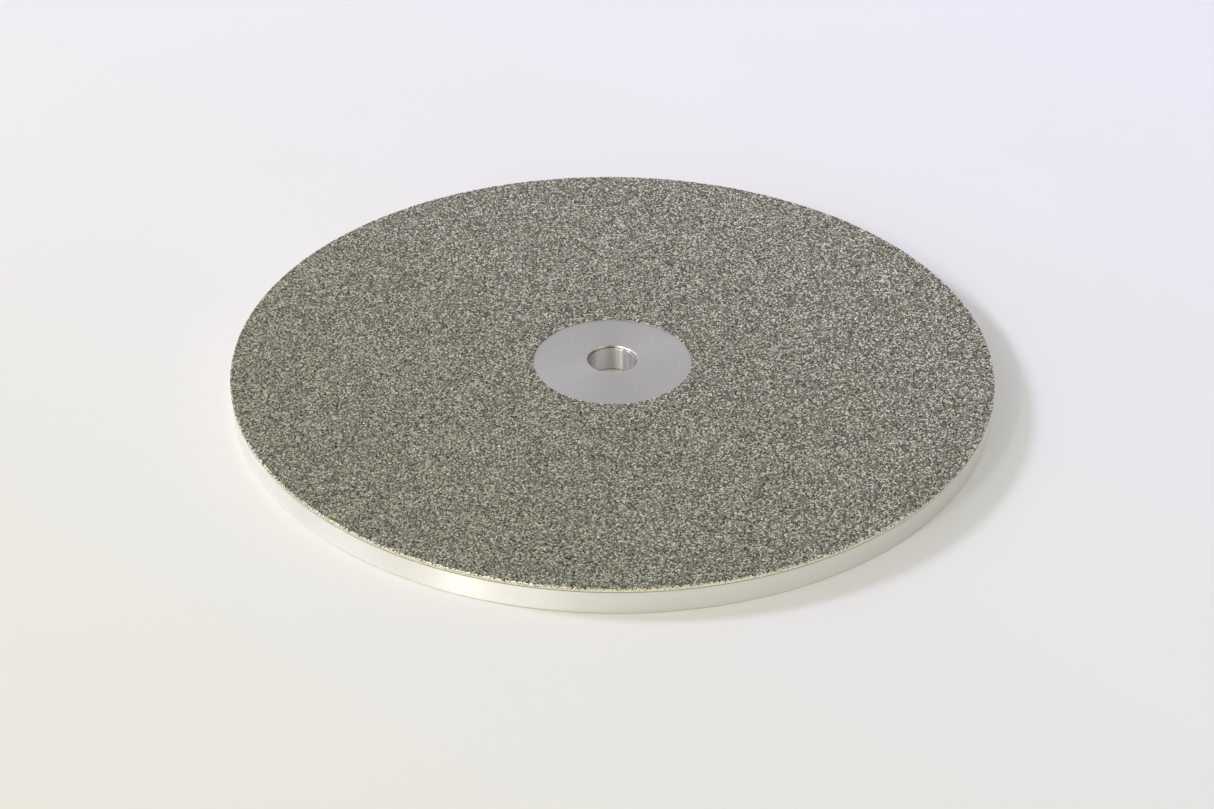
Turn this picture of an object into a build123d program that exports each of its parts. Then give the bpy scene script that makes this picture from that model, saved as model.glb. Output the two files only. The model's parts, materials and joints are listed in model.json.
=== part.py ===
"""Electroplated diamond grinding wheel: a flat lap disc, 8 in across, for a 1/2 in arbor.

A machined aluminium plate carries a thin nickel undercoat, a thicker nickel bond and one layer
of diamond grit. The coats cover the working face outside a bare hub circle and turn over the
rim. Each coat is the space between two parallel offsets of the plate's outline.

Millimetres. +Z is the wheel's axis and points out of the gritted face. The origin is on the
bore's axis, on the back face that the wheel seats on.
"""

import os
from math import sqrt

from build123d import *

# Driving dimensions
wheel_dia = 203.2  # over the coated rim
plate_thk = 7.4
bore_dia = 12.7
hub_dia = 42.3  # bare circle that the plating mask covers
mask_shift = 1.1  # the mask sits this far off the bore's axis, towards -Y

bore_lead_in = 0.46  # radial width of the chamfer at the bore's mouth
bore_lead_depth = 0.6
edge_break = 0.4  # chamfer on the back edges of the rim and the bore
rim_corner = 0.2  # chamfer under the plating, on the face's outer corner

undercoat_thk = 0.03  # fills the etched depth, so it ends flush with the bare metal
bond_thk = 0.20
grit_proud = 0.15  # height of the grains above the bond
bond_drop = 0.85  # how far down the rim the bond reaches, below the plate's face
undercoat_margin = 0.35  # the undercoat shows below the bond by this much
bond_gap = 0.05  # the bond starts this far outside the hub circle
hub_lip = 0.12  # grit-free edge of the bond round the hub
rim_lip = 0.10  # grit-free edge of the bond on the rim

# Sizes that follow from them
plate_r = wheel_dia / 2 - bond_thk - grit_proud
bore_r = bore_dia / 2
hub_r = hub_dia / 2
bond_foot_z = plate_thk - bond_drop
undercoat_foot_z = bond_foot_z - undercoat_margin
grit_foot_z = bond_foot_z + rim_lip


def coat_outline(build_up, foot_z):
    """Half section of the plate's face and rim, moved outwards by build_up, down to foot_z."""
    corner = rim_corner + (2 - sqrt(2)) * build_up  # leg of the chamfer, kept parallel
    r = plate_r + build_up
    z = plate_thk + build_up
    return [(bore_r, z), (r - corner, z), (r, z - corner), (r, foot_z)]


def flat_radius(build_up):
    """Where the flat face ends and the corner chamfer starts, at that build-up."""
    return coat_outline(build_up, 0)[1][0]


# Backing plate: turned blank with a chamfered bore, etched where it is plated
with BuildPart() as backing_plate:
    with BuildSketch(Plane.XY):
        Circle(plate_r)
        Circle(bore_r, mode=Mode.SUBTRACT)
    extrude(amount=plate_thk)
    back_edges = backing_plate.faces().sort_by(Axis.Z)[0].edges()
    chamfer(back_edges, length=edge_break)
    face_rims = backing_plate.faces().sort_by(Axis.Z)[-1].edges().sort_by(SortBy.RADIUS)
    chamfer(face_rims[-1], length=rim_corner)
    # Lead-in cone, from the bore wall up to the hub face
    with BuildSketch(Plane.XZ):
        with BuildLine():
            Polyline(
                (0, plate_thk - bore_lead_depth),
                (bore_r, plate_thk - bore_lead_depth),
                (bore_r + bore_lead_in, plate_thk),
                (0, plate_thk),
                close=True,
            )
        make_face()
    revolve(axis=Axis.Z, mode=Mode.SUBTRACT)

# Nickel undercoat: struck on the etched metal so that the bond holds to aluminium
with BuildPart() as nickel_undercoat:
    with BuildSketch(Plane.XZ):
        with BuildLine():
            outer = coat_outline(0, undercoat_foot_z)
            inner = coat_outline(-undercoat_thk, undercoat_foot_z)
            Polyline(*outer, *reversed(inner), close=True)
        make_face()
    revolve(axis=Axis.Z)
    with BuildSketch(Plane.XY):
        with Locations((0, -mask_shift)):
            Circle(hub_r)
    extrude(amount=plate_thk, mode=Mode.SUBTRACT)
nickel_undercoat.part.label = "nickel_undercoat"

with backing_plate:
    add(nickel_undercoat.part, mode=Mode.SUBTRACT)
backing_plate.part.label = "backing_plate"

# Nickel bond: holds the grains, and turns over the rim
with BuildPart() as nickel_bond:
    with BuildSketch(Plane.XZ):
        with BuildLine():
            outer = coat_outline(bond_thk, bond_foot_z)
            inner = coat_outline(0, bond_foot_z)
            Polyline(*outer, *reversed(inner), close=True)
        make_face()
    revolve(axis=Axis.Z)
    with BuildSketch(Plane.XY):
        with Locations((0, -mask_shift)):
            Circle(hub_r + bond_gap)
    extrude(amount=plate_thk + bond_thk, mode=Mode.SUBTRACT)
nickel_bond.part.label = "nickel_bond"

# Diamond grit on the working face: the proud part of the layer of grains
with BuildPart() as face_grit:
    with BuildSketch(Plane.XY.offset(plate_thk + bond_thk)):
        Circle(flat_radius(bond_thk))
        with Locations((0, -mask_shift)):
            Circle(hub_r + bond_gap + hub_lip, mode=Mode.SUBTRACT)
    extrude(amount=grit_proud)
face_grit.part.label = "face_grit"

# Diamond grit on the rim: the same layer, round the corner and down the edge
with BuildPart() as rim_grit:
    with BuildSketch(Plane.XZ):
        with BuildLine():
            outer = coat_outline(bond_thk + grit_proud, grit_foot_z)[1:]
            inner = coat_outline(bond_thk, grit_foot_z)[1:]
            seam = (inner[0][0], outer[0][1])
            Polyline(seam, *outer, *reversed(inner), close=True)
        make_face()
    revolve(axis=Axis.Z)
rim_grit.part.label = "rim_grit"

os.makedirs("parts", exist_ok=True)
export_step(backing_plate.part, "parts/backing_plate.step")
export_step(nickel_undercoat.part, "parts/nickel_undercoat.step")
export_step(nickel_bond.part, "parts/nickel_bond.step")
export_step(face_grit.part, "parts/face_grit.step")
export_step(rim_grit.part, "parts/rim_grit.step")
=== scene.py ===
"""Diamond flat lap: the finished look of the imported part.

A turned aluminium plate, its struck nickel undercoat, the nodular nickel bond and one layer of
diamond grains. Every piece is built at its true size, in metres, in the part's own frame.
"""

import json
import math

import bpy
import numpy as np
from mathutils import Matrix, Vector


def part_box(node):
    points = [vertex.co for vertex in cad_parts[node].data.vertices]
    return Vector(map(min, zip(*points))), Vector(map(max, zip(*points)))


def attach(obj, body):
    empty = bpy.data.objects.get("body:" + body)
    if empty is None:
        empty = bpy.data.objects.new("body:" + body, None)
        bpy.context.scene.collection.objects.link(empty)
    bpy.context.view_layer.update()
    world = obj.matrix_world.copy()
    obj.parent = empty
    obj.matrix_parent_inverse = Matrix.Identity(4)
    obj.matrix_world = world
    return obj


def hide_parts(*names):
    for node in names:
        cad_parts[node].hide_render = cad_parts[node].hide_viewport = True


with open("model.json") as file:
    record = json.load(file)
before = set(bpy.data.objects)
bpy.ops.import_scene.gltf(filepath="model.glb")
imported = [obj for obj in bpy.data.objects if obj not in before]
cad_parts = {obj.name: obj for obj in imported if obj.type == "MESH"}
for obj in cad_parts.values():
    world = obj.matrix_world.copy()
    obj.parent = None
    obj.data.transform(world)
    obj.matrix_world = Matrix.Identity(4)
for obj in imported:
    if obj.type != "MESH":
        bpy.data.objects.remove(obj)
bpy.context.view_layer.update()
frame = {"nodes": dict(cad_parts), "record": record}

bl_info = {
    "name": "Diamond flat lap",
    "version": (1, 0, 0),
    "blender": (4, 5, 0),
    "location": "3D View > Sidebar > Flat lap",
    "description": "Builds an electroplated diamond grinding wheel around its packed part",
    "category": "Add Mesh",
}

MM = 0.001


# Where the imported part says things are


def opening(node, reach):
    """Centre height along Y and radius of the hole in a CAD node, from its vertices within reach."""
    near = [v.co for v in frame["nodes"][node].data.vertices if v.co.xy.length < reach]
    low_y, high_y = min(p.y for p in near), max(p.y for p in near)
    low_x, high_x = min(p.x for p in near), max(p.x for p in near)
    return (low_y + high_y) / 2, (high_x - low_x) / 2


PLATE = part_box("backing_plate")
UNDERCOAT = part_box("nickel_undercoat")
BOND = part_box("nickel_bond")
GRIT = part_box("face_grit")
HUB_SHIFT, HUB_RADIUS = opening("nickel_undercoat", 0.03)
BOND_SHIFT, BOND_HOLE = opening("nickel_bond", 0.03)
GRIT_SHIFT, GRIT_HOLE = opening("face_grit", 0.03)
BORE_RADIUS = frame["record"]["mounts"][0]["dims"]["r_mm"] * MM

# Shapes that the coats and the grains share
BOND_CORNER = 0.35 * MM  # radius of the bond's outer corner
FLAT_RINGS = (30 * MM, 60 * MM, 90 * MM)  # radii that split the wide flat faces
INWARDS = tuple(reversed(FLAT_RINGS))

# Bore's mouth from below, in shares of its width and depth: a bevel, a short upright step, the
# lead-in cone and a broken edge
MOUTH = (
    (0.0, 1.4333), (0.0217, 1.3333), (0.0761, 1.25), (0.2174, 1.1083), (0.2935, 1.05),
    (0.3261, 1.0), (0.337, 0.95), (0.337, 0.7167), (0.3587, 0.6667), (0.413, 0.6167),
    (0.6304, 0.4), (0.8478, 0.1833), (0.913, 0.1167), (0.9783, 0.0583), (1.0652, 0.0167),
    (1.1739, 0.0),
)


def length(name, description, default):
    """A length that a user may change."""
    return bpy.props.FloatProperty(
        name=name, description=description, default=default, min=0.0, precision=5, unit="LENGTH"
    )


def tint(name, description, default):
    """A colour that a user may change."""
    return bpy.props.FloatVectorProperty(
        name=name, description=description, default=default, size=3, min=0.0, max=1.0,
        subtype="COLOR",
    )


def share(name, description, default):
    """A number from 0 to 1 that a user may change."""
    return bpy.props.FloatProperty(
        name=name, description=description, default=default, min=0.0, max=1.0, subtype="FACTOR"
    )


class LapPlateSizes(bpy.types.PropertyGroup):
    """Sizes of the turned plate."""

    radius: length("Radius", "Plate's radius under the coats", PLATE[1].x)
    thickness: length("Thickness", "Plate's thickness", PLATE[1].z)
    bore: length("Bore radius", "Radius of the arbor bore", BORE_RADIUS)
    mouth: length("Mouth width", "Width of the chamfer round the bore's mouth", 0.46 * MM)
    mouth_depth: length("Mouth depth", "Depth of that chamfer", 0.6 * MM)
    edge: length("Back edge", "Chamfer on the back edges", 0.4 * MM)
    corner: length("Face corner", "Corner broken on the face's rim", 0.2 * MM)


class LapCoatSizes(bpy.types.PropertyGroup):
    """Sizes of the nickel coats."""

    undercoat: length("Undercoat", "Thickness of the struck undercoat", 0.03 * MM)
    undercoat_foot: length("Undercoat foot", "Height where the undercoat ends", UNDERCOAT[0].z)
    bond_foot: length("Bond foot", "Height where the bond ends", BOND[0].z)
    nodules: length("Nodules", "Height of the bumps on the rim", 0.07 * MM)
    nodule_size: length("Nodule size", "Spacing of the bumps", 0.42 * MM)


class LapGritSizes(bpy.types.PropertyGroup):
    """Sizes of the diamond grains."""

    pitch: length("Pitch", "Mean distance between grains", 0.49 * MM)
    width: length("Width", "Mean width of a grain", 0.57 * MM)
    depth: length("Depth", "Mean height of a grain", 0.32 * MM)
    jitter: share("Jitter", "How far a grain strays from its place, in pitches", 0.36)
    seed: bpy.props.IntProperty(name="Seed", description="Seed of the scatter", default=41)


class LapFinishes(bpy.types.PropertyGroup):
    """Colours and gloss of the metals and grains."""

    aluminium: tint("Satin aluminium", "Turned faces, dulled by handling", (0.62, 0.61, 0.61))
    bright: tint("Bright aluminium", "Freshly turned rim", (0.93, 0.925, 0.86))
    bored: tint("Bored aluminium", "Bore's wall", (0.74, 0.73, 0.71))
    # Step: painted shade, a near-black brown for the small wall below the mouth's cone that lies in
    # shadow
    step: tint("Step", "Dark step below the mouth's cone", (0.22, 0.19, 0.15))
    # Mouth: a warm brown base for the cone at the bore's mouth
    mouth: tint("Mouth", "Browned cone at the bore's mouth", (0.66, 0.60, 0.50))
    nickel: tint("Nickel", "Bond's nickel, slightly golden", (0.97, 0.91, 0.72))
    # Strike: the undercoat's nickel, given a dark brownish colour
    strike: tint("Strike", "Undercoat's nickel, browned a little", (0.40, 0.36, 0.27))
    grain: tint("Grain", "Grey that each grain's own shade multiplies", (0.192, 0.199, 0.212))
    face_roughness: share("Face roughness", "Roughness of the turned faces", 0.42)
    wall_roughness: share("Wall roughness", "Roughness of the rim and bore", 0.34)
    # The floor's two ends, in painted light: warm at the near left, cool at the far right
    paper: tint("Paper", "Floor at the near left", (0.82, 0.82, 0.69))
    paper_back_painted_cool_light: tint("Paper behind", "Floor at the far right", (0.925, 0.92, 0.985))


# Modelling helpers


def deselect():
    """Leaves nothing selected, in object mode."""
    if bpy.context.object and bpy.context.object.mode != "OBJECT":
        bpy.ops.object.mode_set(mode="OBJECT")
    bpy.ops.object.select_all(action="DESELECT")


def arc(centre_r, centre_z, radius, start, end, steps, shift=0.0):
    """Points of an outline along an arc. Angles are in degrees from straight out, upwards."""
    points = []
    for i in range(steps + 1):
        a = math.radians(start + (end - start) * i / steps)
        r = centre_r + radius * math.cos(a)
        points.append((r, centre_z + radius * math.sin(a), shift))
    return points


def turn(name, outline, segments):
    """Turns a closed outline of (radius, height, centre's shift along Y) round the axis.

    Each ring is extruded from the last one, moved and resized, and the last is bridged to the
    first.
    """
    deselect()
    radius, height, shift = outline[0]
    bpy.ops.mesh.primitive_circle_add(
        vertices=segments, radius=radius, location=(0, shift, height)
    )
    piece = bpy.context.object
    piece.name = name
    piece.data.name = name
    bpy.ops.object.mode_set(mode="EDIT")
    bpy.ops.mesh.select_mode(type="VERT")
    bpy.ops.mesh.select_all(action="SELECT")
    for last, here in zip(outline, outline[1:]):
        move = (0, here[2] - last[2], here[1] - last[1])
        bpy.ops.mesh.extrude_region_move(TRANSFORM_OT_translate={"value": move})
        grow = here[0] / last[0]
        bpy.ops.transform.resize(value=(grow, grow, 1), center_override=(0, here[2], here[1]))
    bpy.ops.object.mode_set(mode="OBJECT")
    count = len(piece.data.vertices)
    for v in piece.data.vertices:
        v.select = v.index < segments or v.index >= count - segments
    bpy.ops.object.mode_set(mode="EDIT")
    bpy.ops.mesh.bridge_edge_loops()
    bpy.ops.mesh.select_all(action="SELECT")
    bpy.ops.mesh.normals_make_consistent(inside=False)
    bpy.ops.object.mode_set(mode="OBJECT")
    bpy.ops.object.transform_apply(location=True, rotation=True, scale=True)
    bpy.ops.object.shade_smooth_by_angle(angle=math.radians(35))
    return piece


def finish_piece(piece, node, material):
    """Puts the piece in the part: what it stands for, its body, slot and material."""
    piece.data.materials.clear()
    piece.data.materials.append(material)
    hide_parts(node)
    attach(piece, "root")


# Node helpers


def put(tree, kind, values=None, **settings):
    """Adds a node with these settings and input values."""
    made = tree.nodes.new(kind)
    for key, value in settings.items():
        setattr(made, key, value)
    for key, value in (values or {}).items():
        made.inputs[key].default_value = value
    return made


def maths(tree, operation, a, b=None, clamp=False):
    """Adds a Math node. An input is a number or a socket."""
    made = put(tree, "ShaderNodeMath", operation=operation, use_clamp=clamp)
    for i, value in enumerate((a, b)):
        if value is None:
            continue
        if isinstance(value, (int, float)):
            made.inputs[i].default_value = value
        else:
            tree.links.new(value, made.inputs[i])
    return made.outputs[0]


def blend_colours(tree, factor, a, b, kind="MIX"):
    """Adds a colour Mix node. Factor, a and b are values or sockets."""
    made = put(tree, "ShaderNodeMix", data_type="RGBA", blend_type=kind)
    for i, value in ((0, factor), (6, a), (7, b)):
        if isinstance(value, (int, float)):
            made.inputs[i].default_value = value
        elif isinstance(value, (tuple, list)) or hasattr(value, "r"):
            made.inputs[i].default_value = (*value[:3], 1.0)
        else:
            tree.links.new(value, made.inputs[i])
    return made.outputs[2]


def remap(tree, value, low, high, to_low=0.0, to_high=1.0):
    """Adds a linear, clamped Map Range node."""
    made = put(
        tree,
        "ShaderNodeMapRange",
        {"From Min": low, "From Max": high, "To Min": to_low, "To Max": to_high},
    )
    tree.links.new(value, made.inputs["Value"])
    return made.outputs["Result"]


def colour_ramp(tree, value, stops):
    """Adds a Color Ramp node with these (position, colour) stops."""
    made = put(tree, "ShaderNodeValToRGB")
    tree.links.new(value, made.inputs[0])
    elements = made.color_ramp.elements
    elements.remove(elements[-1])
    for i, (at, colour) in enumerate(stops):
        stop = elements[0] if i == 0 else elements.new(at)
        stop.position = at
        stop.color = (*colour[:3], 1.0)
    return made.outputs[0]


def new_group(name, inputs, outputs):
    """A shader node group with float inputs {name: default} and outputs {name: socket type}."""
    tree = bpy.data.node_groups.new(name, "ShaderNodeTree")
    for key, value in inputs.items():
        socket = tree.interface.new_socket(key, in_out="INPUT", socket_type="NodeSocketFloat")
        socket.default_value = value
    for key, kind in outputs.items():
        tree.interface.new_socket(key, in_out="OUTPUT", socket_type=kind)
    return tree, tree.nodes.new("NodeGroupInput"), tree.nodes.new("NodeGroupOutput")


def use_group(tree, group, **values):
    """Places a group with its own values."""
    made = put(tree, "ShaderNodeGroup", node_tree=group)
    for key, value in values.items():
        made.inputs[key.replace("_", " ").capitalize()].default_value = value
    return made


def new_material(name, look=None, **shader):
    """A material whose Principled BSDF has these values. Keys are its sockets, with _ for space."""
    material = bpy.data.materials.new(name)
    material.use_nodes = True
    principled = material.node_tree.nodes["Principled BSDF"]
    for key, value in shader.items():
        principled.inputs[key.replace("_", " ")].default_value = value
    if look is not None:
        material.diffuse_color = (*look[:3], 1.0)
    return material, material.node_tree, principled


def polar(tree):
    """Sockets of distance from the axis, angle round it and height, from Object coordinates."""
    place = put(tree, "ShaderNodeTexCoord")
    parts = put(tree, "ShaderNodeSeparateXYZ")
    tree.links.new(place.outputs["Object"], parts.inputs[0])
    x, y, z = parts.outputs
    square = maths(tree, "ADD", maths(tree, "MULTIPLY", x, x), maths(tree, "MULTIPLY", y, y))
    out = maths(tree, "SQRT", square)
    return out, maths(tree, "ARCTAN2", y, x), z, place.outputs["Object"]


# Effects that more than one material uses


def turning_marks():
    """Rings that a lathe tool leaves: fine grooves, and broader bands of tone."""
    if "Turning marks" in bpy.data.node_groups:
        return bpy.data.node_groups["Turning marks"]
    tree, given, out = new_group(
        "Turning marks",
        {"Feed": 9000.0, "Sweep": 0.8, "Depth": 1.0},
        {"Tone": "NodeSocketFloat", "Height": "NodeSocketFloat"},
    )
    r, angle, z, _ = polar(tree)
    feed, sweep = given.outputs["Feed"], given.outputs["Sweep"]
    place = put(tree, "ShaderNodeCombineXYZ")
    tree.links.new(maths(tree, "MULTIPLY", r, feed), place.inputs[0])
    tree.links.new(maths(tree, "MULTIPLY", z, feed), place.inputs[1])
    tree.links.new(maths(tree, "MULTIPLY", angle, sweep), place.inputs[2])
    fine = put(tree, "ShaderNodeTexNoise", {"Scale": 1.0, "Detail": 2.0, "Roughness": 0.6})
    tree.links.new(place.outputs[0], fine.inputs["Vector"])
    broad = put(tree, "ShaderNodeTexNoise", {"Scale": 0.17, "Detail": 3.0, "Roughness": 0.55})
    tree.links.new(place.outputs[0], broad.inputs["Vector"])
    both = maths(tree, "ADD", maths(tree, "MULTIPLY", fine.outputs[0], 0.6),
                 maths(tree, "MULTIPLY", broad.outputs[0], 0.4))
    tree.links.new(both, out.inputs["Tone"])
    tree.links.new(maths(tree, "MULTIPLY", both, given.outputs["Depth"]), out.inputs["Height"])
    return tree


def handling_scratches():
    """Short fine scratches in two directions, as a mask."""
    if "Handling scratches" in bpy.data.node_groups:
        return bpy.data.node_groups["Handling scratches"]
    tree, given, out = new_group(
        "Handling scratches", {"Amount": 0.3}, {"Mask": "NodeSocketFloat"}
    )
    place = put(tree, "ShaderNodeTexCoord")
    total = None
    for turn_deg, fine in ((28, 5200), (-51, 4100)):
        lie = put(tree, "ShaderNodeMapping", {"Rotation": (0, 0, math.radians(turn_deg)),
                                              "Scale": (fine, 170, 170)})
        tree.links.new(place.outputs["Object"], lie.inputs["Vector"])
        lines = put(tree, "ShaderNodeTexNoise", {"Scale": 1.0, "Detail": 1.0})
        tree.links.new(lie.outputs[0], lines.inputs["Vector"])
        thin = remap(tree, lines.outputs[0], 0.74, 0.8)
        total = thin if total is None else maths(tree, "MAXIMUM", total, thin)
    tree.links.new(maths(tree, "MULTIPLY", total, given.outputs["Amount"]), out.inputs["Mask"])
    return tree


def fine_dust():
    """Specks of grinding dust, as a mask."""
    if "Fine dust" in bpy.data.node_groups:
        return bpy.data.node_groups["Fine dust"]
    tree, given, out = new_group(
        "Fine dust", {"Scale": 2600.0, "Amount": 0.5}, {"Mask": "NodeSocketFloat"}
    )
    place = put(tree, "ShaderNodeTexCoord")
    specks = put(tree, "ShaderNodeTexNoise", {"Detail": 2.0, "Roughness": 0.7})
    tree.links.new(place.outputs["Object"], specks.inputs["Vector"])
    tree.links.new(given.outputs["Scale"], specks.inputs["Scale"])
    patches = put(tree, "ShaderNodeTexNoise", {"Scale": 90.0, "Detail": 3.0})
    tree.links.new(place.outputs["Object"], patches.inputs["Vector"])
    dots = remap(tree, specks.outputs[0], 0.62, 0.72)
    soft = remap(tree, patches.outputs[0], 0.4, 0.7)
    mask = maths(tree, "MULTIPLY", dots, maths(tree, "ADD", soft, 0.35, clamp=True))
    tree.links.new(maths(tree, "MULTIPLY", mask, given.outputs["Amount"]), out.inputs["Mask"])
    return tree


# Materials


def turned_aluminium(name, base, roughness, lay, depth, worn):
    """Aluminium with tool marks, scratches and dust. Lay is how strongly the marks stretch gloss."""
    material, tree, shader = new_material(
        name, base, Metallic=1.0, Anisotropic=lay, Anisotropic_Rotation=0.25
    )
    link = tree.links.new
    marks = use_group(tree, turning_marks(), feed=6500.0, sweep=0.7, depth=1.0)
    scratches = use_group(tree, handling_scratches(), amount=worn)
    dust = use_group(tree, fine_dust(), scale=3200.0, amount=0.25)
    tone = remap(tree, marks.outputs["Tone"], 0.3, 0.7)
    colour = blend_colours(tree, tone, tuple(c * 0.95 for c in base), base)
    colour = blend_colours(tree, dust.outputs["Mask"], colour, (0.5, 0.49, 0.47))
    colour = blend_colours(tree, scratches.outputs["Mask"], colour, (0.95, 0.95, 0.94))
    link(colour, shader.inputs["Base Color"])
    gloss = remap(tree, tone, 0.0, 1.0, roughness * 1.1, roughness * 0.9)
    dull = maths(tree, "MULTIPLY", dust.outputs["Mask"], 0.3)
    link(maths(tree, "ADD", gloss, dull), shader.inputs["Roughness"])
    bump = put(tree, "ShaderNodeBump", {"Strength": depth, "Distance": 0.004 * MM})
    height = maths(tree, "SUBTRACT", marks.outputs["Height"], scratches.outputs["Mask"])
    link(height, bump.inputs["Height"])
    link(bump.outputs[0], shader.inputs["Normal"])
    tangent = put(tree, "ShaderNodeTangent", direction_type="RADIAL", axis="Z")
    link(tangent.outputs[0], shader.inputs["Tangent"])
    return material


def struck_nickel():
    """The undercoat: thin nickel, dark and brownish, that follows the turned rim."""
    look = bpy.context.scene.lap_finishes
    material, tree, shader = new_material("struck_nickel", look.strike, Metallic=1.0)
    link = tree.links.new
    marks = use_group(tree, turning_marks(), feed=5200.0, sweep=1.3, depth=1.0)
    dust = use_group(tree, fine_dust(), scale=4200.0, amount=0.4)
    tone = remap(tree, marks.outputs["Tone"], 0.3, 0.7)
    base = look.strike
    colour = blend_colours(tree, tone, tuple(c * 0.9 for c in base), base)
    colour = blend_colours(tree, dust.outputs["Mask"], colour, (0.55, 0.52, 0.45))
    link(colour, shader.inputs["Base Color"])
    link(remap(tree, tone, 0.0, 1.0, 0.2, 0.12), shader.inputs["Roughness"])
    bump = put(tree, "ShaderNodeBump", {"Strength": 0.3, "Distance": 0.004 * MM})
    link(marks.outputs["Height"], bump.inputs["Height"])
    link(bump.outputs[0], shader.inputs["Normal"])
    return material


def plated_nickel():
    """The bond: nodular nickel, golden, with painted shade between the grains and on the far side of
    the bead round the hub.
    """
    look = bpy.context.scene.lap_finishes
    material, tree, shader = new_material("plated_nickel", look.nickel, Metallic=1.0)
    link = tree.links.new
    r, _, _, place = polar(tree)
    nodules = put(tree, "ShaderNodeTexNoise", {"Scale": 2600.0, "Detail": 3.0, "Roughness": 0.6})
    link(place, nodules.inputs["Vector"])
    cells = put(tree, "ShaderNodeTexVoronoi", {"Scale": 4200.0}, feature="F1")
    link(place, cells.inputs["Vector"])
    dust = use_group(tree, fine_dust(), scale=5200.0, amount=0.6)
    base = look.nickel
    tone = remap(tree, nodules.outputs[0], 0.35, 0.65)
    colour = blend_colours(tree, tone, tuple(c * 0.78 for c in base), base)
    # Painted shade between the grains on the face; none on the rim, and none on the bead along the
    # hub's -Y side, which stays bright as a painted highlight
    face = remap(tree, r, BOND[1].x - 0.25 * MM, BOND[1].x - 0.5 * MM)
    parts = put(tree, "ShaderNodeSeparateXYZ")
    link(place, parts.inputs[0])
    from_hub = put(tree, "ShaderNodeVectorMath", operation="DISTANCE")
    link(place, from_hub.inputs[0])
    from_hub.inputs[1].default_value = (0.0, BOND_SHIFT, BOND[1].z)
    bead = remap(tree, from_hub.outputs["Value"], BOND_HOLE + 0.35 * MM, BOND_HOLE + 0.25 * MM)
    painted_highlight_side = remap(tree, parts.outputs[1], 2 * MM, -8 * MM)
    painted_shade_mask = maths(tree, "SUBTRACT", face, maths(tree, "MULTIPLY", bead, painted_highlight_side))
    # Painted shade: darkens towards a dark olive brown where that mask is set
    colour = blend_colours(tree, maths(tree, "MULTIPLY", painted_shade_mask, 0.75), colour, (0.3, 0.29, 0.24))
    colour = blend_colours(tree, dust.outputs["Mask"], colour, (0.35, 0.33, 0.27))
    link(colour, shader.inputs["Base Color"])
    link(remap(tree, nodules.outputs[0], 0.3, 0.7, 0.32, 0.16), shader.inputs["Roughness"])
    bump = put(tree, "ShaderNodeBump", {"Strength": 0.6, "Distance": 0.05 * MM})
    height = maths(tree, "SUBTRACT", nodules.outputs[0],
                   maths(tree, "MULTIPLY", cells.outputs["Distance"], 0.6))
    link(height, bump.inputs["Height"])
    link(bump.outputs[0], shader.inputs["Normal"])
    return material


def diamond_grains():
    """Blocky grains: most are dark and some pale, each with its own gloss and cast."""
    if "diamond_grains" in bpy.data.materials:
        return bpy.data.materials["diamond_grains"]
    look = bpy.context.scene.lap_finishes
    material, tree, shader = new_material(
        "diamond_grains", look.grain, IOR=2.42, Specular_IOR_Level=0.22,
        Specular_Tint=(0.92, 0.94, 0.64, 1.0)
    )
    link = tree.links.new
    shade = put(tree, "ShaderNodeAttribute", attribute_name="grain_shade")
    gloss = put(tree, "ShaderNodeAttribute", attribute_name="grain_gloss")
    base = look.grain
    strengths = (0.0, 0.02), (0.40, 0.05), (0.60, 0.3), (0.70, 2.2), (0.77, 6.0), (0.84, 9.0)
    tone = colour_ramp(tree, shade.outputs["Fac"], [
        (at, tuple(min(1.0, c * strength) for c in base)) for at, strength in strengths
    ])
    cast = colour_ramp(tree, gloss.outputs["Fac"], (
        (0.0, (0.93, 0.88, 0.68)),
        (0.35, (0.90, 0.90, 0.80)),
        (0.75, (0.86, 0.87, 0.90)),
        (1.0, (0.82, 0.84, 1.0)),
    ))
    tone = blend_colours(tree, 1.0, tone, cast, "MULTIPLY")
    place = put(tree, "ShaderNodeTexCoord")
    flaws = put(tree, "ShaderNodeTexNoise", {"Scale": 6500.0, "Detail": 2.0})
    link(place.outputs["Object"], flaws.inputs["Vector"])
    # Painted light: the grit is painted paler and cooler towards +X and +Y, darker and yellower
    # towards -X and -Y
    parts = put(tree, "ShaderNodeSeparateXYZ")
    link(place.outputs["Object"], parts.inputs[0])
    across = maths(tree, "ADD", parts.outputs[0], parts.outputs[1])
    side = remap(tree, across, -0.1, 0.1)
    painted_light_tint = blend_colours(tree, side, (0.73, 0.72, 0.53), (1.0, 1.0, 1.0))
    tone = blend_colours(tree, 1.0, tone, painted_light_tint, "MULTIPLY")
    colour = blend_colours(tree, remap(tree, flaws.outputs[0], 0.4, 0.7, 0.0, 0.35),
                           tone, tuple(c * 0.3 for c in base))
    link(colour, shader.inputs["Base Color"])
    link(remap(tree, gloss.outputs["Fac"], 0.0, 1.0, 0.05, 0.3), shader.inputs["Roughness"])
    bump = put(tree, "ShaderNodeBump", {"Strength": 0.25, "Distance": 0.02 * MM})
    link(flaws.outputs[0], bump.inputs["Height"])
    link(bump.outputs[0], shader.inputs["Normal"])
    return material


# Pieces


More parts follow.
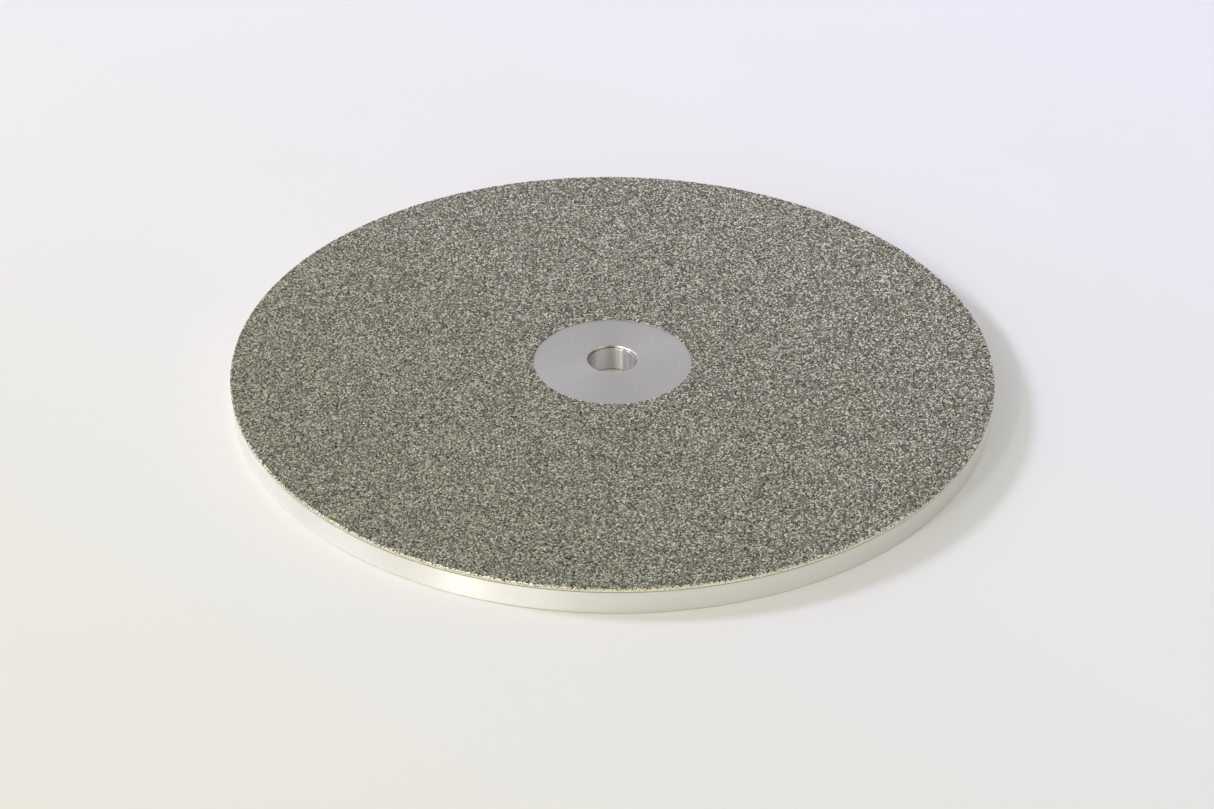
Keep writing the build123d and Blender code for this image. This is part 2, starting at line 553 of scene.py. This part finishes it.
class LAP_OT_turn_plate(bpy.types.Operator):
    """Turn the aluminium plate with its chamfered bore and bare hub"""

    bl_idname = "lap.turn_plate"
    bl_label = "Turn plate"
    bl_options = {"REGISTER", "UNDO"}

    def execute(self, context):
        plate, coats = context.scene.lap_plate, context.scene.lap_coats
        top, out, bore = plate.thickness, plate.radius, plate.bore
        etched = coats.undercoat
        outline = [(bore, plate.edge, 0.0)]
        outline += [(bore, z, 0.0) for z in np.linspace(plate.edge + 0.3 * MM, top - 1.6 * MM, 6)]
        wide, deep = plate.mouth, plate.mouth_depth
        outline += [(bore + share_out * wide, top - share_down * deep, 0.0)
                    for share_out, share_down in MOUTH]
        hub = HUB_RADIUS
        outline += [(r, top, 0.0) for r in (8 * MM, 11 * MM, 15 * MM)]
        outline += [(hub - 0.5 * MM, top, HUB_SHIFT), (hub, top, HUB_SHIFT)]
        outline += [(hub, top - etched, HUB_SHIFT), (hub + 0.5 * MM, top - etched, HUB_SHIFT)]
        outline += [(r, top - etched, 0.0) for r in FLAT_RINGS]
        corner = plate.corner + etched * (2 - math.sqrt(2))
        outline += [(out - corner, top - etched, 0.0), (out - etched, top - corner, 0.0)]
        foot = coats.undercoat_foot
        outline += [(out - etched, foot, 0.0)]
        # Rim wall, with a small break where the coat's mask ended
        outline += [(out, foot, 0.0), (out, foot - 0.12 * MM, 0.0)]
        outline += [(out, z, 0.0) for z in np.linspace(foot - 0.6 * MM, plate.edge + 0.4 * MM, 5)]
        edge = plate.edge
        outline += arc(out - edge, edge, edge, 0, -90, 6)
        outline += [(r, 0.0, 0.0) for r in (*INWARDS, 15 * MM)]
        outline += [(bore + edge, 0.0, 0.0)]
        outline += [(bore + 0.1 * MM, edge - 0.06 * MM, 0.0)]
        piece = turn("aluminium_plate", outline, 720)
        look = context.scene.lap_finishes
        wall = look.wall_roughness
        finishes = (
            turned_aluminium("satin_aluminium", look.aluminium, look.face_roughness, 0.6, 0.35, 0.6),
            turned_aluminium("bright_aluminium", look.bright, wall, 1.0, 0.2, 0.1),
            turned_aluminium("bored_aluminium", look.bored, wall, 1.0, 0.3, 0.3),
            turned_aluminium("mouth_aluminium", look.mouth, 0.24, 0.3, 0.3, 0.2),
            turned_aluminium("painted_shade_step_aluminium", look.step, 0.3, 0.3, 0.3, 0.1),
        )
        finish_piece(piece, "backing_plate", finishes[0])
        for material in finishes[1:]:
            piece.data.materials.append(material)
        satin, bright, bored, mouth_cut, step = range(len(finishes))
        wall_start, mouth_end = out - 0.5 * MM, bore + 1.13 * wide
        cone_foot, step_foot = top - 0.63 * deep, top - 1.1 * deep
        for face in piece.data.polygons:
            r, z = face.center.xy.length, face.center.z
            face.material_index = satin
            if r > wall_start:
                face.material_index = bright
            elif r < mouth_end:
                # The step's faces take the painted shade material
                face.material_index = mouth_cut if z > cone_foot else step if z > step_foot else bored
        return {"FINISHED"}


class LAP_OT_strike_undercoat(bpy.types.Operator):
    """Strike the thin nickel undercoat that shows below the bond"""

    bl_idname = "lap.strike_undercoat"
    bl_label = "Strike undercoat"
    bl_options = {"REGISTER", "UNDO"}

    def execute(self, context):
        plate, coats = context.scene.lap_plate, context.scene.lap_coats
        top, out, thin = plate.thickness, plate.radius, coats.undercoat
        foot = coats.undercoat_foot
        inner = plate.corner + thin * (2 - math.sqrt(2))
        outer = plate.corner
        outline = [(HUB_RADIUS, top - thin, HUB_SHIFT), (HUB_RADIUS, top, HUB_SHIFT)]
        outline += [(HUB_RADIUS + 0.5 * MM, top, HUB_SHIFT)]
        outline += [(r, top, 0.0) for r in FLAT_RINGS]
        outline += [(out - outer, top, 0.0), (out, top - outer, 0.0)]
        outline += [(out, top - down * MM, 0.0) for down in (0.4, 0.8, 0.95, 1.1)]
        outline += [(out, foot + 0.02 * MM, 0.0), (out - 0.01 * MM, foot, 0.0)]
        outline += [(out - thin, foot, 0.0), (out - thin, top - 0.6 * MM, 0.0)]
        outline += [(out - thin, top - inner, 0.0), (out - inner, top - thin, 0.0)]
        outline += [(r, top - thin, 0.0) for r in INWARDS]
        piece = turn("nickel_strike", outline, 720)
        finish_piece(piece, "nickel_undercoat", struck_nickel())
        return {"FINISHED"}


class LAP_OT_plate_bond(bpy.types.Operator):
    """Plate the nickel bond, with its bead round the hub and its nodular rim"""

    bl_idname = "lap.plate_bond"
    bl_label = "Plate bond"
    bl_options = {"REGISTER", "UNDO"}

    def execute(self, context):
        plate, coats = context.scene.lap_plate, context.scene.lap_coats
        low, high = plate.thickness, BOND[1].z
        thick = high - low
        out, inner = BOND[1].x, plate.radius
        foot = coats.bond_foot
        hole = BOND_HOLE
        outline = [(hole, low, BOND_SHIFT)]
        outline += arc(hole + thick, low, -thick, 0, -90, 6, BOND_SHIFT)[1:]
        outline += [(hole + 0.6 * MM, high, BOND_SHIFT)]
        outline += [(r, high, 0.0) for r in (*FLAT_RINGS, 100 * MM)]
        corner = BOND_CORNER
        outline += arc(out - corner, high - corner, corner, 90, 0, 6)
        heel = 0.12 * MM
        outline += [(out, z, 0.0) for z in np.linspace(high - corner - 0.09 * MM, foot + heel, 6)]
        outline += arc(out - heel, foot + heel, heel, 0, -90, 3)[1:]
        outline += [(inner, foot, 0.0), (inner, low - plate.corner, 0.0)]
        outline += [(inner - plate.corner, low, 0.0)]
        outline += [(r, low, 0.0) for r in INWARDS]
        piece = turn("nickel_bond_coat", outline, 2560)
        self.raise_nodules(piece, coats, out, inner, hole, low)
        finish_piece(piece, "nickel_bond", plated_nickel())
        return {"FINISHED"}

    def raise_nodules(self, piece, coats, out, inner, hole, low):
        """Pushes the rim and the bead out in small bumps, and leaves the seat on the plate alone."""
        rim = piece.vertex_groups.new(name="nodules")
        for v in piece.data.vertices:
            r = v.co.xy.length
            on_rim = r > out - 0.4 * MM and r > inner + 0.02 * MM
            near_hub = r < hole + 2.0 * MM and v.co.z > low + 0.05 * MM
            if on_rim:
                rim.add([v.index], 1.0, "REPLACE")
            elif near_hub:
                rim.add([v.index], 0.35, "REPLACE")
        bumps = bpy.data.textures.new("nodules", "CLOUDS")
        bumps.noise_scale = coats.nodule_size
        bumps.noise_depth = 1
        bumps.noise_basis = "ORIGINAL_PERLIN"
        bumps.contrast = 1.6
        push = piece.modifiers.new("nodules", "DISPLACE")
        push.texture = bumps
        push.texture_coords = "LOCAL"
        push.strength = coats.nodules
        push.mid_level = 0.6
        push.vertex_group = rim.name
        deselect()
        piece.select_set(True)
        bpy.context.view_layer.objects.active = piece
        bpy.ops.object.modifier_apply(modifier=push.name)
        piece.vertex_groups.clear()


def grain_shapes():
    """The four grain shapes, each modelled once about its own centre, one unit wide."""
    shapes = []
    for kind in ("octahedron", "spindle", "block", "chip"):
        deselect()
        if kind == "block":
            bpy.ops.mesh.primitive_cube_add(size=0.68)
        elif kind == "chip":
            bpy.ops.mesh.primitive_cone_add(vertices=3, radius1=0.56, radius2=0.3, depth=0.55)
        else:
            # A pyramid whose base has a middle point, drawn down below into a second pyramid
            bpy.ops.mesh.primitive_cone_add(
                vertices=4 if kind == "octahedron" else 3,
                radius1=0.52, depth=0.52, end_fill_type="TRIFAN",
            )
        made = bpy.context.object
        bpy.ops.object.mode_set(mode="EDIT")
        bpy.ops.mesh.select_all(action="SELECT")
        bpy.ops.mesh.quads_convert_to_tris()
        bpy.ops.object.mode_set(mode="OBJECT")
        corners = np.array([v.co for v in made.data.vertices])
        if kind in ("octahedron", "spindle"):
            corners[:, 2] += 0.26
            middle = np.hypot(corners[:, 0], corners[:, 1]) < 0.01
            corners[middle & (corners[:, 2] < 0.1), 2] = -0.52
        faces = np.array([list(p.vertices) for p in made.data.polygons])
        shapes.append((corners, faces))
        mesh = made.data
        bpy.data.objects.remove(made)
        bpy.data.meshes.remove(mesh)
    return shapes


# How many of the grains have each of those shapes
SHAPE_SHARES = (0.42, 0.22, 0.2, 0.16)


def random_turns(rng, count):
    """That many rotation matrices, evenly spread over all turns."""
    q = rng.normal(size=(count, 4))
    q /= np.linalg.norm(q, axis=1)[:, None]
    w, x, y, z = q.T
    return np.stack([
        1 - 2 * (y * y + z * z), 2 * (x * y - z * w), 2 * (x * z + y * w),
        2 * (x * y + z * w), 1 - 2 * (x * x + z * z), 2 * (y * z - x * w),
        2 * (x * z - y * w), 2 * (y * z + x * w), 1 - 2 * (x * x + y * y),
    ], axis=1).reshape(-1, 3, 3)


def set_grains(name, seats, widths, depths, shapes, rng, shade_low=0.0):
    """Makes one piece of grains.

    A seat is (top point, outward normal) as two (n, 3) arrays. A grain's top touches its seat's
    point and its body goes down into the bond, so a width and a depth set how much of it there is.
    """
    tops, normals = seats
    kinds = rng.choice(len(shapes), size=len(tops), p=SHAPE_SHARES)
    all_points, all_faces, shade, gloss, owner = [], [], [], [], []
    offset = 0
    for kind, (corners, faces) in enumerate(shapes):
        mine = np.flatnonzero(kinds == kind)
        n, k = len(mine), len(corners)
        if not n:
            continue
        # Each grain is stretched, its corners are strayed, and it is turned
        body = corners[None] * rng.uniform(0.78, 1.25, size=(n, 1, 3))
        body = body + rng.uniform(-0.09, 0.09, size=(n, k, 3))
        body = np.einsum("nij,nkj->nki", random_turns(rng, n), body)
        body[:, :, :2] *= widths[mine, None, None]
        up = body[:, :, 2]
        up = (up - up.max(1, keepdims=True)) / (up.max(1) - up.min(1))[:, None]
        # Local frame of each seat
        out = normals[mine]
        side = np.cross(out, np.where(np.abs(out[:, 2:]) < 0.9, (0.0, 0, 1), (1.0, 0, 0)))
        side /= np.linalg.norm(side, axis=1)[:, None]
        across = np.cross(out, side)
        points = (
            tops[mine, None]
            + body[:, :, :1] * side[:, None]
            + body[:, :, 1:2] * across[:, None]
            + (up * depths[mine, None])[:, :, None] * out[:, None]
        )
        all_points.append(points.reshape(-1, 3))
        starts = offset + np.arange(n) * k
        all_faces.append((faces[None] + starts[:, None, None]).reshape(-1, 3))
        offset += n * k
        shade.append(np.repeat(rng.uniform(shade_low, 1, n), k))
        gloss.append(np.repeat(rng.uniform(0, 1, n), k))
        owner.append(np.repeat(mine, len(faces)))
    return build_mesh(
        name, np.concatenate(all_points), np.concatenate(all_faces), np.concatenate(shade),
        np.concatenate(gloss), np.concatenate(owner), len(tops)
    )


def build_mesh(name, points, faces, shade, gloss, owner, count):
    """A flat-shaded mesh of triangles, with one small cell of its map for each grain."""
    mesh = bpy.data.meshes.new(name)
    mesh.vertices.add(len(points))
    mesh.vertices.foreach_set("co", points.astype(np.float32).ravel())
    mesh.loops.add(faces.size)
    mesh.loops.foreach_set("vertex_index", faces.astype(np.int32).ravel())
    mesh.polygons.add(len(faces))
    mesh.polygons.foreach_set("loop_start", np.arange(0, faces.size, 3, dtype=np.int32))
    mesh.update(calc_edges=True)
    mesh.shade_flat()
    for key, values in (("grain_shade", shade), ("grain_gloss", gloss)):
        layer = mesh.attributes.new(key, "FLOAT", "POINT")
        layer.data.foreach_set("value", values.astype(np.float32))
    across = math.ceil(math.sqrt(count))
    cell = np.stack([owner % across, owner // across], axis=1)[:, None]
    corner = np.array([(0.06, 0.06), (0.94, 0.06), (0.5, 0.94)])[None]
    places = ((cell + corner) / across).reshape(-1, 2)
    uv = mesh.uv_layers.new(name="OFBake")
    uv.data.foreach_set("uv", places.astype(np.float32).ravel())
    piece = bpy.data.objects.new(name, mesh)
    bpy.context.scene.collection.objects.link(piece)
    return piece


def ring_places(inner, outer, pitch, jitter, rng):
    """Places in a flat ring, a pitch apart along rings a pitch apart, each strayed by the jitter."""
    places = []
    rows = max(1, round((outer - inner) / pitch))
    for row in range(rows):
        r = inner + (outer - inner) * (row + 0.5) / rows
        count = max(3, round(2 * math.pi * r / pitch))
        a = (np.arange(count) + rng.uniform()) * 2 * math.pi / count
        a = a + rng.uniform(-jitter, jitter, count) * pitch / r
        rr = r + rng.uniform(-jitter, jitter, count) * pitch
        places.append(np.stack([rr * np.cos(a), rr * np.sin(a)], axis=1))
    return np.concatenate(places)


class LAP_OT_set_face_grit(bpy.types.Operator):
    """Set the layer of diamond grains on the working face, in rings of equal area"""

    bl_idname = "lap.set_face_grit"
    bl_label = "Set face grit"
    bl_options = {"REGISTER", "UNDO"}
    rings = 8

    def execute(self, context):
        sizes = context.scene.lap_grit
        shapes = grain_shapes()
        inner, outer = GRIT_HOLE, GRIT[1].x
        limits = np.sqrt(np.linspace(inner * inner, outer * outer, self.rings + 1))
        material = diamond_grains()
        high = GRIT[1].z
        for i in range(self.rings):
            rng = np.random.default_rng(sizes.seed + i)
            # The hole is off the axis, so the first ring starts early and is then cut to it
            start = inner - 1.2 * MM if i == 0 else limits[i]
            flat = ring_places(start, limits[i + 1], sizes.pitch, sizes.jitter, rng)
            if i == 0:
                off = np.hypot(flat[:, 0], flat[:, 1] - GRIT_SHIFT)
                flat = np.concatenate([flat[off > inner + 0.28 * MM], self.hub_row(inner, rng)])
            n = len(flat)
            tops = np.column_stack([flat, high - rng.uniform(0, 0.09 * MM, n)])
            normals = np.tile((0.0, 0.0, 1.0), (n, 1))
            widths = sizes.width * rng.uniform(0.78, 1.22, n)
            depths = np.minimum(sizes.depth * rng.uniform(0.85, 1.1, n),
                                tops[:, 2] - context.scene.lap_plate.thickness - 0.005 * MM)
            piece = set_grains(
                f"face_grains_{i + 1}", (tops, normals), widths, depths, shapes, rng
            )
            finish_piece(piece, "face_grit", material)
        return {"FINISHED"}

    def hub_row(self, inner, rng):
        """The innermost row, close along the edge that the plater's mask left."""
        count = round(2 * math.pi * inner / (0.36 * MM))
        a = (np.arange(count) + rng.uniform(-0.3, 0.3, count)) * 2 * math.pi / count
        r = inner + rng.uniform(0.02, 0.14, count) * MM
        return np.stack([r * np.cos(a), r * np.sin(a) + GRIT_SHIFT], axis=1)


class LAP_OT_set_rim_grit(bpy.types.Operator):
    """Set the grains that turn over the rim's corner and thin out down the edge"""

    bl_idname = "lap.set_rim_grit"
    bl_label = "Set rim grit"
    bl_options = {"REGISTER", "UNDO"}

    def execute(self, context):
        sizes = context.scene.lap_grit
        rng = np.random.default_rng(sizes.seed + 100)
        out, high = BOND[1].x, BOND[1].z
        corner = BOND_CORNER
        # Each row: degrees up from straight out, mm below the corner, share kept, mm proud
        rows = (
            (78, 0.0, 1.0, 0.13), (42, 0.0, 1.0, 0.10), (12, 0.0, 0.9, 0.07),
            (0, 0.2, 0.8, 0.06), (0, 0.4, 0.4, 0.04),
        )
        tops, normals, widths = [], [], []
        for up, drop, kept, proud in rows:
            count = round(2 * math.pi * out / sizes.pitch)
            a = (np.arange(count) + rng.uniform(-0.4, 0.4, count)) * 2 * math.pi / count
            a = a[rng.uniform(size=count) < kept]
            n = len(a)
            tilt = np.radians(up + rng.uniform(-9, 9, n) * (up > 0))
            lift = corner + proud * MM * rng.uniform(0.3, 1.0, n)
            r = out - corner + lift * np.cos(tilt)
            z = high - corner - drop * MM + lift * np.sin(tilt)
            z = z + rng.uniform(-0.06, 0.06, n) * MM * (up == 0)
            tops.append(np.stack([r * np.cos(a), r * np.sin(a), z], axis=1))
            normals.append(
                np.stack([np.cos(tilt) * np.cos(a), np.cos(tilt) * np.sin(a), np.sin(tilt)], axis=1)
            )
            widths.append(sizes.width * rng.uniform(0.6, 1.1, n) * (1.0 if up > 30 else 0.75))
        tops, normals, widths = map(np.concatenate, (tops, normals, widths))
        depths = np.full(len(tops), 0.24 * MM)
        piece = set_grains(
            "rim_grains", (tops, normals), widths, depths, grain_shapes(), rng, shade_low=0.25
        )
        finish_piece(piece, "rim_grit", diamond_grains())
        return {"FINISHED"}


# Stage


def toward(azimuth, elevation, distance):
    """A place that far from the wheel, in that direction. Azimuth 0 is +X and 90 is +Y."""
    a, e = math.radians(azimuth), math.radians(elevation)
    return distance * Vector((math.cos(a) * math.cos(e), math.sin(a) * math.cos(e), math.sin(e)))


def add_softbox(name, azimuth, elevation, distance, size, power, colour):
    """An area light of this width and height that faces the wheel."""
    lamp = bpy.data.lights.new(name, "AREA")
    lamp.shape = "RECTANGLE"
    lamp.size, lamp.size_y = size
    lamp.energy = power
    lamp.color = colour
    holder = bpy.data.objects.new(name, lamp)
    holder.location = toward(azimuth, elevation, distance)
    holder.rotation_euler = holder.location.to_track_quat("Z", "Y").to_euler()
    bpy.context.scene.collection.objects.link(holder)
    return holder


# Room tones at each height, the sine of its angle up: a tint, then the brightness at every eighth
# of a turn, from the right round by the back, the left and the front
SURROUND = (
    (0.0, (1.0, 0.99, 0.97), (0.10, 0.25, 1.15, 0.90, 0.85, 1.40, 1.35, 0.48)),
    (0.4, (1.0, 0.99, 0.98), (0.20, 0.36, 0.77, 0.78, 0.80, 1.30, 1.25, 0.48)),
    (0.8, (1.0, 0.99, 1.0), (1.50, 1.00, 0.38, 0.54, 0.68, 0.68, 0.70, 1.00)),
    (1.0, (1.0, 0.99, 1.0), (0.55,) * 8),
)


class LAP_OT_set_stage(bpy.types.Operator):
    """Set the camera, the paper floor, the soft lights and the room's pale surround"""

    bl_idname = "lap.set_stage"
    bl_label = "Set stage"
    bl_options = {"REGISTER", "UNDO"}

    def execute(self, context):
        self.add_camera(context)
        self.add_floor(context)
        # Each is a compact light that throws the shadows and a wide one that only reflections show
        cool, warm = (0.74, 0.72, 0.96), (1.0, 0.95, 0.86)
        add_softbox("window", 168, 34.5, 2.4, (0.46, 0.40), 29.5, cool).visible_glossy = False
        add_softbox("window_glow", 168, 34.5, 2.4, (2.6, 0.40), 27, cool).visible_diffuse = False
        add_softbox("lamp", 228, 32, 1.9, (0.12, 0.12), 4.2, warm)
        add_softbox("lamp_glow", 234, 32, 1.9, (1.3, 0.4), 6, warm).visible_diffuse = False
        self.add_surround(context)
        context.scene.view_settings.view_transform = "Standard"
        return {"FINISHED"}

    def add_camera(self, context):
        """A long lens, about 0.7 m away, that looks down at about 33 degrees."""
        lens = bpy.data.cameras.new("camera")
        lens.sensor_width = 36.0
        lens.lens = 78.971
        lens.clip_start = 0.01
        lens.clip_end = 50.0
        camera = bpy.data.objects.new("camera", lens)
        camera.location = (0.0, -0.601404, 0.388578)
        camera.rotation_euler = [math.radians(a) for a in (56.6509, -0.36498, 0.370495)]
        context.scene.collection.objects.link(camera)
        context.scene.camera = camera

    def add_floor(self, context):
        """A wide sheet of white paper, in painted light warm at the near left and cool at the far
        right.
        """
        deselect()
        bpy.ops.mesh.primitive_circle_add(
            vertices=96, radius=6.0, fill_type="NGON", location=(0, 0, -0.02 * MM)
        )
        floor = context.object
        floor.name = "floor"
        look = context.scene.lap_finishes
        material, tree, shader = new_material("paper", look.paper, Roughness=0.75)
        shader.inputs["Specular IOR Level"].default_value = 0.25
        link = tree.links.new
        place = put(tree, "ShaderNodeTexCoord")
        clouds = put(tree, "ShaderNodeTexNoise", {"Scale": 9.0, "Detail": 4.0})
        link(place.outputs["Object"], clouds.inputs["Vector"])
        parts = put(tree, "ShaderNodeSeparateXYZ")
        link(place.outputs["Object"], parts.inputs[0])
        # Painted light: the paper runs from a warm tint at the near left to a cool one at the far
        # right
        along = maths(tree, "ADD", parts.outputs[0], parts.outputs[1])
        back = remap(tree, along, -0.3, 0.4)
        sheet = blend_colours(tree, back, look.paper, look.paper_back_painted_cool_light)
        mottle = remap(tree, clouds.outputs[0], 0.3, 0.7)
        colour = blend_colours(tree, mottle, (0.985,) * 3, (1.0,) * 3)
        link(blend_colours(tree, 1.0, sheet, colour, "MULTIPLY"), shader.inputs["Base Color"])
        fibres = put(tree, "ShaderNodeTexNoise", {"Scale": 900.0, "Detail": 3.0})
        link(place.outputs["Object"], fibres.inputs["Vector"])
        bump = put(tree, "ShaderNodeBump", {"Strength": 0.08, "Distance": 0.1 * MM})
        link(fibres.outputs[0], bump.inputs["Height"])
        link(bump.outputs[0], shader.inputs["Normal"])
        floor.data.materials.append(material)

    def add_surround(self, context):
        """A pale room, whose tones change round the wheel and from the floor up to overhead."""
        world = bpy.data.worlds.new("surround")
        world.use_nodes = True
        tree = world.node_tree
        place = put(tree, "ShaderNodeTexCoord")
        parts = put(tree, "ShaderNodeSeparateXYZ")
        tree.links.new(place.outputs["Generated"], parts.inputs[0])
        x, y, z = parts.outputs
        turn_share = maths(tree, "DIVIDE", maths(tree, "ARCTAN2", y, x), 2 * math.pi)
        turn_share = maths(tree, "FRACT", turn_share)
        total, below = None, 0.0
        for height, cast, tones in SURROUND:
            band = [tuple(c * tone for c in cast) for tone in (*tones, tones[0])]
            band = colour_ramp(tree, turn_share, [(i / 8, tone) for i, tone in enumerate(band)])
            if total is None:
                total = band
            else:
                total = blend_colours(tree, remap(tree, z, below, height), total, band)
            below = height
        # Whoever stands at the front is a soft dark patch in the reflections
        aim = put(tree, "ShaderNodeVectorMath", operation="DOT_PRODUCT")
        tree.links.new(place.outputs["Generated"], aim.inputs[0])
        aim.inputs[1].default_value = toward(280, 40, 1.0)
        near = remap(tree, aim.outputs["Value"], math.cos(math.radians(27)),
                     math.cos(math.radians(12)), 0.0, 0.85)
        total = blend_colours(tree, near, total, (0.14, 0.11, 0.08))
        background = tree.nodes["Background"]
        tree.links.new(total, background.inputs["Color"])
        background.inputs["Strength"].default_value = 1.0
        context.scene.world = world


class LAP_PT_panel(bpy.types.Panel):
    """Sizes, finishes and the steps that build the wheel."""

    bl_idname = "LAP_PT_panel"
    bl_label = "Flat lap"
    bl_space_type = "VIEW_3D"
    bl_region_type = "UI"
    bl_category = "Flat lap"

    def draw(self, context):
        scene = context.scene
        for group in (scene.lap_plate, scene.lap_coats, scene.lap_grit, scene.lap_finishes):
            box = self.layout.box()
            for key in group.__annotations__:
                box.prop(group, key)
        for step in STEPS:
            self.layout.operator(step.bl_idname)


STEPS = (
    LAP_OT_set_stage,
    LAP_OT_turn_plate,
    LAP_OT_strike_undercoat,
    LAP_OT_plate_bond,
    LAP_OT_set_face_grit,
    LAP_OT_set_rim_grit,
)
GROUPS = {
    "lap_plate": LapPlateSizes,
    "lap_coats": LapCoatSizes,
    "lap_grit": LapGritSizes,
    "lap_finishes": LapFinishes,
}


def register():
    """Registers the settings, the steps and the panel."""
    for name, group in GROUPS.items():
        bpy.utils.register_class(group)
        setattr(bpy.types.Scene, name, bpy.props.PointerProperty(type=group))
    for step in STEPS:
        bpy.utils.register_class(step)
    bpy.utils.register_class(LAP_PT_panel)


def unregister():
    """Takes them away again."""
    bpy.utils.unregister_class(LAP_PT_panel)
    for step in reversed(STEPS):
        bpy.utils.unregister_class(step)
    for name, group in GROUPS.items():
        delattr(bpy.types.Scene, name)
        bpy.utils.unregister_class(group)


def main():
    """Builds the wheel and its stage."""
    register()
    for step in STEPS:
        group, name = step.bl_idname.split(".")
        getattr(getattr(bpy.ops, group), name)()


if __name__ == "__main__":
    main()
